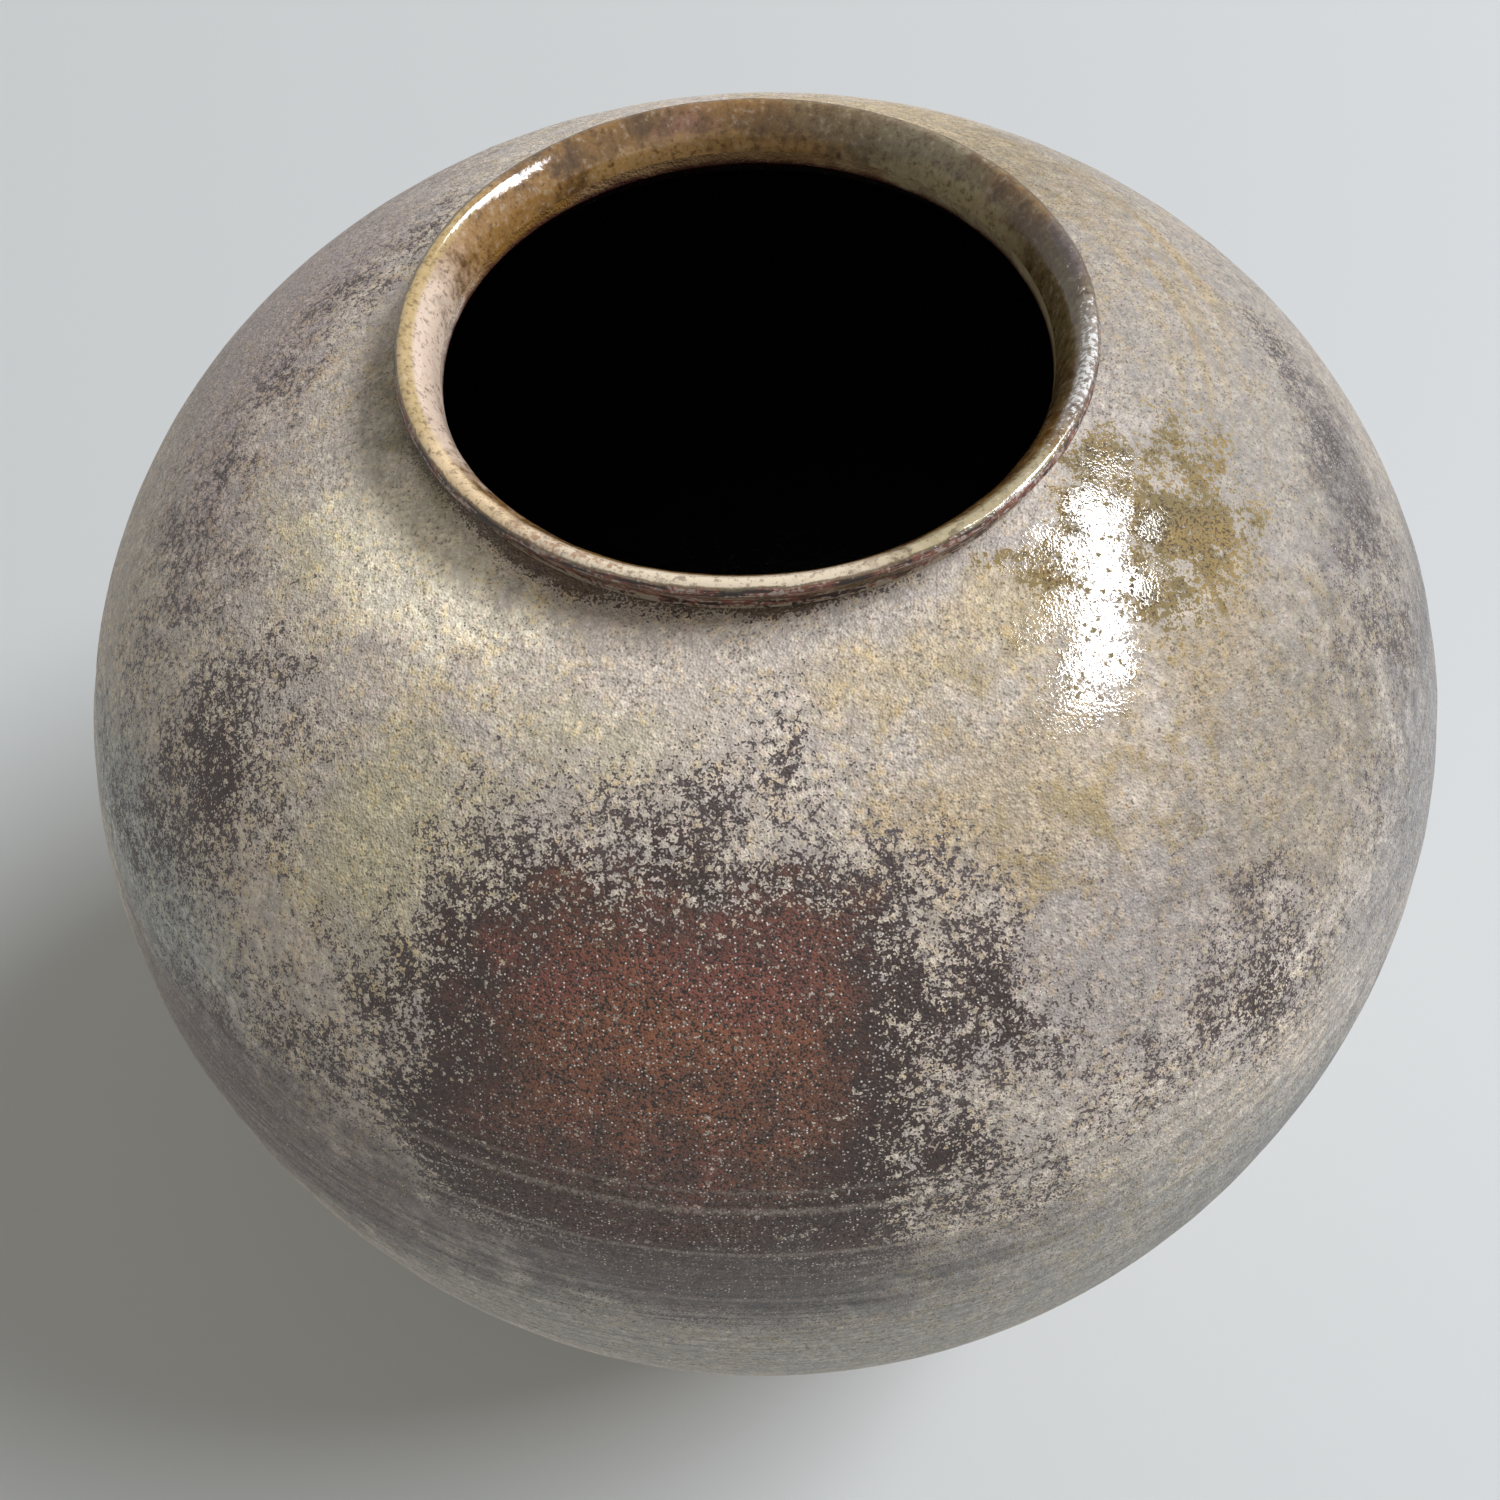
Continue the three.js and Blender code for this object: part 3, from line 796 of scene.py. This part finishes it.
# the same ash melted on the thin collar into a runny glossy amber, scraped to dark clay on the outside
# patches: turn from the front in degrees, height over the collar's seat in mm, half sizes of both, strength
collarGlaze = {
    "gold": 0x9C7440,
    "umber": 0x6E5234,
    "brownDot": 0x4E3220,
    "paleDot": 0xEFE0CE,
    # painted highlight: the colour of the glint dots on the crest
    "glint": 0xFFFDFA,
    "edgeLine": 0x5E4A22,
    "stain": 0x9C6535,
    "outerClay": 0x84503E,
    "outerDark": 0x241410,
    "scuff": 0xC0B4AA,
    "creep": 0xAEA08C,
    "grainSize": 0.6,
    "mottleSize": 1.1,
    "wanderSize": 4.0,
    "cloudSize": 16.0,
    "runSize": (2.6, 20 / 3),  # degrees round the collar, mm up it
    "grooveSize": (8, 0.7),
    "glossRough": 0.04,
    "outerRough": 0.42,
    "roughChange": 0.14,
    "dulledRough": 0.34,  # more than the gloss
    "glazeIor": 1.58,
    "reliefStrength": 0.35,
    "reliefDepth": 0.25,
    "tints": [
        (0xF4DAC4, 0.95, [(-82, 3, 56, 14, 1.4)]),
        (0xB48850, 0.75, [(-128, 3, 34, 12, 1.0)]),
        (0x9C7160, 0.8, [(-170, 2, 18, 9, 1.0), (190, 2, 18, 9, 1.0)]),
        (0xA1957A, 0.85, [(142, 3, 40, 12, 1.2)]),
        (0x86704E, 0.8, [(160, 5, 22, 6, 1.2)]),
        (0xCCA268, 0.9, [(-168, 1.2, 36, 4.5, 1.4), (185, 1.2, 50, 4.5, 1.4)]),
        (0xD0C098, 0.85, [(128, 1.2, 40, 4.5, 1.4)]),
        (0x8A7D5C, 0.75, [(88, 3, 50, 12, 1.0)]),
    ],
    "crests": [
        (0xCDAF74, 0.9, [(-90, 7, 66, 12, 1.4)]),
        (0xFFEBCE, 0.95, [(-12, 7, 62, 12, 1.4)]),
        (0xFFDFB0, 0.8, [(-52, 7, 26, 12, 1.2)]),
        (0xCDBE96, 0.85, [(38, 7, 34, 12, 1.2)]),
        (0xB9AEA6, 0.9, [(74, 7, 30, 12, 1.2)]),
        (0x75686A, 0.8, [(100, 7, 18, 12, 1.0)]),
    ],
    "paintedGlintPatches": [(72, 7, 40, 12, 1.0)],
    "stains": [(-34, 7, 40, 12, 1.0)],
    "creeping": [(-96, 2, 70, 12, 1.6)],
    "dulled": [(150, 3, 80, 16, 1.4), (-210, 3, 80, 16, 1.4)],
}


def amberGlazedCollar():
    look = collarGlaze
    material, tree, shader, add, place = startMaterial("amberGlazedCollar")
    turn = addTurn(tree, place)
    z = add("SeparateXYZ", None, {0: place}, 2)
    height = add("Math", timesPlus, {0: z, 1: 1 / mm, 2: -wallShape["collarSeatHeight"]})  # over the seat, mm
    chart = add("CombineXYZ", None, {0: turn, 1: height})
    flat = add("VectorMath", times, {0: place, 1: (1.0, 1.0, 0.0)})
    radius = add("VectorMath", {"operation": "LENGTH"}, {0: flat}, "Value")
    radius = add("Math", {"operation": "DIVIDE"}, {0: radius, 1: mm})
    # how far out from the middle of the collar's wall, mm
    lipRound = collarShape["lipThickness"] / 2
    lipHeight = collarShape["height"] - lipRound
    baseMiddle = (wallShape["throatRadius"] + wallShape["collarSeatRadius"]) / 2
    lipMiddle = wallShape["collarSeatRadius"] + collarShape["lipFlare"] - lipRound
    middle = add("MapRange", None, {0: height, 1: 0.0, 2: lipHeight, 3: baseMiddle, 4: lipMiddle})
    outward = add("Math", minus, {0: radius, 1: middle})

    wanderScale = perMm(look["wanderSize"])
    wander = add("TexNoise", None, {"Vector": place, "Scale": wanderScale, "Detail": 4.0, "Roughness": 0.65})
    grain = add("TexNoise", None, {"Vector": place, "Scale": perMm(look["grainSize"]), "Detail": 2.0})
    cloud = add("TexNoise", None, {"Vector": place, "Scale": perMm(look["cloudSize"]), "Detail": 3.0})
    runPlace = add("VectorMath", {"operation": "DIVIDE"}, {0: chart, 1: (*look["runSize"], 1.0)})
    run = add("TexNoise", None, {"Vector": runPlace, "Scale": 1.0, "Detail": 3.0, "Distortion": 0.5})

    # inside of the flare: gold clouded with umber, with regional tints, faint runs and pinholes
    tone = add("Math", timesPlus, {0: run, 1: 0.35, 2: cloud})
    tone = add("Math", timesPlus, {0: wander, 1: 0.7, 2: tone})
    tone = add("MapRange", smooth, {0: tone, 1: 0.8, 2: 1.2})
    inner = add("Mix", colours, {0: tone, 6: srgb(look["umber"]), 7: srgb(look["gold"])}, 2)
    for tint, amount, patches in look["tints"]:
        share = addPatches(tree, chart, patches)
        share = add("Math", timesPlus, {0: wander, 1: 3.0, 2: share})
        share = add("MapRange", smooth, {0: share, 1: 0.9, 2: 2.2, 4: amount})
        inner = add("Mix", colours, {0: share, 6: inner, 7: srgb(tint)}, 2)

    # outside: dark clay with level grooves and scuffs, and the wall's ash creeping up from below
    linePlace = add("VectorMath", {"operation": "DIVIDE"}, {0: chart, 1: (*look["grooveSize"], 1.0)})
    line = add("TexNoise", None, {"Vector": linePlace, "Scale": 1.0, "Detail": 4.0, "Roughness": 0.65})
    shade = add("Math", timesPlus, {0: line, 1: 1.5, 2: wander})
    shade = add("MapRange", smooth, {0: shade, 1: 1.14, 2: 1.34})
    outer = add("Mix", colours, {0: shade, 6: srgb(look["outerDark"]), 7: srgb(look["outerClay"])}, 2)
    scuff = add("Math", timesPlus, {0: grain, 1: 0.6, 2: line})
    scuff = add("MapRange", smooth, {0: scuff, 1: 0.80, 2: 0.92, 4: 0.8})
    outer = add("Mix", colours, {0: scuff, 6: outer, 7: srgb(look["scuff"])}, 2)
    creep = addPatches(tree, chart, look["creeping"])
    creep = add("Math", larger, {0: creep, 1: -0.4})
    creep = add("Math", timesPlus, {0: wander, 1: 6.0, 2: creep})
    creep = add("Math", timesPlus, {0: grain, 1: 3.0, 2: creep})
    creep = add("Math", minus, {0: creep, 1: height})
    creep = add("MapRange", smooth, {0: creep, 1: 3.4, 2: 4.0})
    outer = add("Mix", colours, {0: creep, 6: outer, 7: srgb(look["creep"])}, 2)

    # the crest is worn to ochre, cream and grey round the near half, with stains, and white dots of painted glint at
    # the right
    crest = add("MapRange", smooth, {0: outward, 1: -1.8, 2: -1.0})
    colour = inner
    for tint, amount, patches in look["crests"]:
        share = addPatches(tree, chart, patches)
        share = add("Math", timesPlus, {0: wander, 1: 2.0, 2: share})
        share = add("MapRange", smooth, {0: share, 1: 0.5, 2: 1.5, 4: amount})
        share = add("Math", times, {0: share, 1: crest})
        colour = add("Mix", colours, {0: share, 6: colour, 7: srgb(tint)}, 2)
    mottleScale = perMm(look["mottleSize"])
    mottle = add("TexNoise", None, {"Vector": place, "Scale": mottleScale, "Detail": 3.0, "Roughness": 0.65})
    mottle = add("Math", timesPlus, {0: run, 1: 0.3, 2: mottle})
    fleck = add("MapRange", smooth, {0: mottle, 1: 0.64, 2: 0.46, 4: 0.6})
    colour = add("Mix", colours, {0: fleck, 6: colour, 7: srgb(look["brownDot"])}, 2)
    lit = add("MapRange", smooth, {0: mottle, 1: 0.68, 2: 0.88, 4: 0.3})
    colour = add("Mix", colours, {0: lit, 6: colour, 7: srgb(look["paleDot"])}, 2)
    stain = addPatches(tree, chart, look["stains"])
    stain = add("Math", timesPlus, {0: mottle, 1: 5.0, 2: stain})
    stain = add("MapRange", smooth, {0: stain, 1: 3.7, 2: 4.6, 4: 0.7})
    stain = add("Math", times, {0: stain, 1: crest})
    colour = add("Mix", colours, {0: stain, 6: colour, 7: srgb(look["stain"])}, 2)
    dots = add("MapRange", smooth, {0: grain, 1: 0.40, 2: 0.30, 4: 0.45})
    colour = add("Mix", colours, {0: dots, 6: colour, 7: srgb(look["brownDot"])}, 2)
    # painted highlights: white glint dots on the right of the crest
    paintedGlint = addPatches(tree, chart, look["paintedGlintPatches"])
    paintedGlint = add("Math", timesPlus, {0: grain, 1: 6.0, 2: paintedGlint})
    paintedGlint = add("MapRange", smooth, {0: paintedGlint, 1: 3.5, 2: 4.1})
    paintedGlint = add("Math", times, {0: paintedGlint, 1: crest})
    colour = add("Mix", colours, {0: paintedGlint, 6: colour, 7: srgb(look["glint"])}, 2)

    # its outer edge is a dark line that shows on the far side
    ragged = add("Math", timesPlus, {0: wander, 1: 1.0, 2: outward})
    outside = add("MapRange", smooth, {0: ragged, 1: 1.35, 2: 1.7})
    aside = add("Math", absolute, {0: turn})
    far = add("MapRange", smooth, {0: aside, 1: 70.0, 2: 115.0, 4: 0.45})
    rim = add("Math", plus, {0: ragged, 1: far})
    rim = add("MapRange", smooth, {0: rim, 1: 1.2, 2: 1.4, 4: 0.8})
    colour = add("Mix", colours, {0: rim, 6: colour, 7: srgb(look["edgeLine"])}, 2)
    colour = add("Mix", colours, {0: outside, 6: colour, 7: outer}, 2)
    tree.links.new(colour, shader.inputs["Base Color"])

    # glossy at the near left, duller on the far side and rough outside
    rough = add("MapRange", None, {0: outside, 3: look["glossRough"], 4: look["outerRough"]})
    rough = add("Math", timesPlus, {0: wander, 1: look["roughChange"], 2: rough})
    dulled = addPatches(tree, chart, look["dulled"])
    dulled = add("MapRange", smooth, {0: dulled, 1: -0.6, 2: 0.6, 4: look["dulledRough"]})
    rough = add("Math", plus, {0: rough, 1: dulled})
    tree.links.new(rough, shader.inputs["Roughness"])
    shader.inputs["IOR"].default_value = look["glazeIor"]
    relief = add("Math", timesPlus, {0: outside, 1: grain, 2: wander})
    relief = add("Math", timesPlus, {0: outside, 1: line, 2: relief})
    depth = look["reliefDepth"] * mm
    bump = add("Bump", None, {"Strength": look["reliefStrength"], "Distance": depth, "Height": relief})
    tree.links.new(bump, shader.inputs["Normal"])
    return material


# bare fired stoneware, turned and wiped, never glazed: red-brown with open pits and sand
footClay = {
    "red": 0x8A604C,
    "brown": 0x5F4236,
    "pit": 0x2E211B,
    "sand": 0xBFA690,
    "grainSize": 0.9,
    "sandSize": 1.6,
    "cloudSize": 11.0,
    "rough": (0.92, 0.78),
    "reliefStrength": 0.6,
    "reliefDepth": 0.2,
}


def bareStoneware():
    look = footClay
    material, tree, shader, add, place = startMaterial("bareStoneware")
    cloud = add("TexNoise", None, {"Vector": place, "Scale": perMm(look["cloudSize"]), "Detail": 4.0})
    grain = add("TexNoise", None, {"Vector": place, "Scale": perMm(look["grainSize"]), "Detail": 2.0})
    tone = add("MapRange", smooth, {0: cloud, 1: 0.35, 2: 0.65})
    colour = add("Mix", colours, {0: tone, 6: srgb(look["brown"]), 7: srgb(look["red"])}, 2)
    pits = add("MapRange", smooth, {0: grain, 1: 0.44, 2: 0.34, 4: 0.8})
    colour = add("Mix", colours, {0: pits, 6: colour, 7: srgb(look["pit"])}, 2)
    sand = add("TexVoronoi", None, {"Vector": place, "Scale": perMm(look["sandSize"])}, "Distance")
    sand = add("MapRange", smooth, {0: sand, 1: 0.24, 2: 0.14, 4: 0.7})
    colour = add("Mix", colours, {0: sand, 6: colour, 7: srgb(look["sand"])}, 2)
    tree.links.new(colour, shader.inputs["Base Color"])
    lowGrain, highGrain = look["rough"]
    rough = add("MapRange", None, {0: grain, 1: 0.3, 2: 0.7, 3: lowGrain, 4: highGrain})
    tree.links.new(rough, shader.inputs["Roughness"])
    depth = look["reliefDepth"] * mm
    bump = add("Bump", None, {"Strength": look["reliefStrength"], "Distance": depth, "Height": grain})
    tree.links.new(bump, shader.inputs["Normal"])
    return material


wallGlaze = ashGlazedStoneware()
lipGlaze = amberGlazedCollar()
clay = bareStoneware()
for piece, node, slot, material in (
    (upperDome, "upper_dome", "dome_glaze", wallGlaze),
    (lowerBowl, "lower_bowl", "bowl_glaze", wallGlaze),
    (mouthCollar, "mouth_collar", "collar_glaze", lipGlaze),
    (footRing, "foot_ring", "foot_clay", clay),
):
    piece.data.materials.append(material)
    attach(piece, "root")
    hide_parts(node)
print("glazed:", [m.name for m in (wallGlaze, lipGlaze, clay)])


# table under the vase
tableTop = {"size": 6.0, "colour": 0xDCDEDE, "roughness": 0.6}


# satin laminate: even, pale and a little cool
def paleLaminate():
    material = bpy.data.materials.new("paleLaminate")
    material.use_nodes = True
    shader = material.node_tree.nodes["Principled BSDF"]
    shader.inputs["Base Color"].default_value = srgb(tableTop["colour"])
    shader.inputs["Roughness"].default_value = tableTop["roughness"]
    return material


def makeTable():
    bm = bmesh.new()
    bmesh.ops.create_grid(bm, x_segments=2, y_segments=2, size=tableTop["size"] / 2)
    mesh = bpy.data.meshes.new("tableTop")
    bm.to_mesh(mesh)
    bm.free()
    table = bpy.data.objects.new("tableTop", mesh)
    bpy.context.collection.objects.link(table)
    mesh.materials.append(paleLaminate())
    return table


makeTable()

# window light from the right and a little behind, and even room light
windowLight = {
    "turn": 103.0,  # degrees from the front, towards the right
    "rise": 47.0,
    "distance": 6.0,
    "width": 3.3,
    "height": 1.3,
    "power": 335.0,
    "colour": 0xF4F8FF,
    "aim": (0, 0, 0.12),
}
roomLight = {"colour": 0xFFFCF2, "strength": 0.255, "backdrop": 0xDEE0E0}


def makeLights():
    aim = Vector(windowLight["aim"])
    turn = math.radians(windowLight["turn"])
    rise = math.radians(windowLight["rise"])
    towards = Vector((math.cos(rise) * math.sin(turn), -math.cos(rise) * math.cos(turn), math.sin(rise)))
    lamp = bpy.data.lights.new("windowLight", "AREA")
    lamp.shape = "RECTANGLE"
    lamp.size = windowLight["width"]
    lamp.size_y = windowLight["height"]
    lamp.energy = windowLight["power"]
    lamp.color = srgb(windowLight["colour"])[:3]
    window = bpy.data.objects.new("windowLight", lamp)
    side = Vector((0, 0, 1)).cross(towards).normalized()
    up = towards.cross(side)
    facing = Matrix((side, up, towards)).transposed().to_4x4()
    window.matrix_world = Matrix.Translation(aim + towards * windowLight["distance"]) @ facing
    bpy.context.collection.objects.link(window)

    # the room lights the vase evenly; the camera and the glaze's reflections see a pale backdrop there
    world = bpy.data.worlds.new("roomLight")
    world.use_nodes = True
    tree = world.node_tree
    tree.nodes.remove(tree.nodes["Background"])
    roomColour = srgb(roomLight["colour"])
    room = addNode(tree, "Background", None, {"Color": roomColour, "Strength": roomLight["strength"]})
    backdrop = addNode(tree, "Background", None, {"Color": srgb(roomLight["backdrop"]), "Strength": 1.0})
    rays = addNode(tree, "LightPath", output="Is Camera Ray")
    seen = rays
    for kind in ("Is Glossy Ray", "Is Transmission Ray"):
        ray = rays.node.outputs[kind]
        seen = addNode(tree, "Math", {"operation": "ADD", "use_clamp": True}, {0: seen, 1: ray})
    mixed = addNode(tree, "MixShader", None, {0: seen, 1: room, 2: backdrop})
    tree.links.new(mixed, tree.nodes["World Output"].inputs["Surface"])
    bpy.context.scene.world = world


makeLights()

# camera as fitted to the photograph: a phone's main lens held over the vase
cameraPose = {
    "place": (-3.0, -163.65, 374.56),
    "lookDown": 58.155,
    "roll": -3.412,
    "focalPixels": 1450.0,
    "imagePixels": 1500.0,
    "sensorWidth": 36.0,
    "clipStart": 0.01,
}


def makeCamera():
    data = bpy.data.cameras.new("photoCamera")
    data.sensor_width = cameraPose["sensorWidth"]
    data.sensor_fit = "HORIZONTAL"
    data.lens = cameraPose["focalPixels"] / cameraPose["imagePixels"] * data.sensor_width
    data.clip_start = cameraPose["clipStart"]
    camera = bpy.data.objects.new("photoCamera", data)
    down = math.radians(cameraPose["lookDown"])
    roll = math.radians(cameraPose["roll"])
    forward = Vector((0, math.cos(down), -math.sin(down)))
    level = Vector((1, 0, 0))
    raised = Vector((0, math.sin(down), math.cos(down)))
    right = level * math.cos(roll) + raised * math.sin(roll)
    up = raised * math.cos(roll) - level * math.sin(roll)
    turn = Matrix((right, up, -forward)).transposed().to_4x4()
    camera.matrix_world = Matrix.Translation(Vector(cameraPose["place"]) * mm) @ turn
    bpy.context.collection.objects.link(camera)
    bpy.context.scene.camera = camera


makeCamera()
bpy.context.scene.view_settings.view_transform = "Standard"
